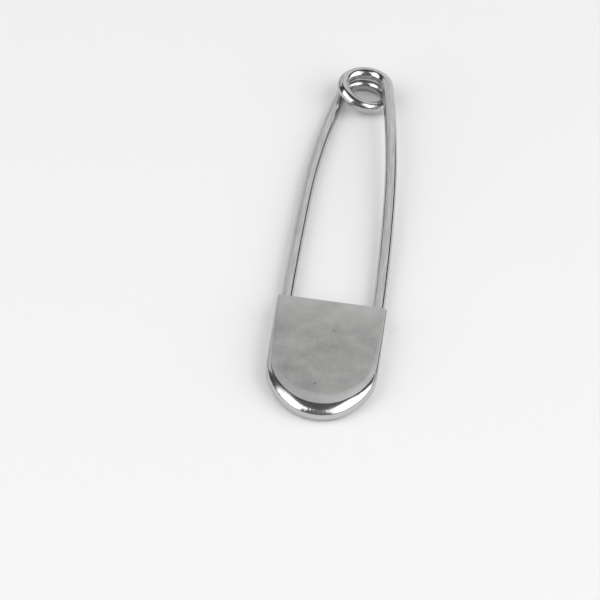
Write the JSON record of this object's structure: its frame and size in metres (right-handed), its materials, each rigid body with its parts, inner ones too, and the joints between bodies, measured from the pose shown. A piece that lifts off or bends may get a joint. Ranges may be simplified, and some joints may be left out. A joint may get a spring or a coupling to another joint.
{
  "type": "safety pin",
  "caption": "Large steel safety pin with a coiled spring end, a bowed spine and arm, and a broad flat cap with a rolled edge that guards the point.",
  "frame": {"origin": "middle of the pin's length and width, on the surface that it lies on", "axes": "+X from the spine to the arm, +Y from the cap to the coil along the length, +Z out of the cap's front plate"},
  "size_m": [0.026, 0.127, 0.0067],
  "materials": {
    "cap_sheet": "satin nickel plate on the flat, polished on the rolled edge",
    "spring_wire": "polished drawn spring wire, nickel plated"
  },
  "bodies": {
    "clasp": {"clasp_cap": "cap_sheet", "spine_hook": "spring_wire", "spine_wire": "spring_wire"},
    "coil": {"spring_coil": "spring_wire"},
    "arm": {"pin_arm": "spring_wire", "pin_point": "spring_wire"}
  },
  "joints": [
    {"name": "arm_swing", "type": "hinge", "parent": "clasp", "child": "coil", "pos_m": [-0.00025, 0.05645, 0.00335], "axis": [0, 0, 1], "range_deg": [-6, 26], "deforming": ["spring_coil", "pin_point"]},
    {"name": "arm_release", "type": "hinge", "parent": "coil", "child": "arm", "pos_m": [0.0057, 0.05436, 0.0052], "axis": [0.6428, 0, -0.766], "range_deg": [0, 4.8], "stiffness_Nm_per_rad": 0.5}
  ]
}
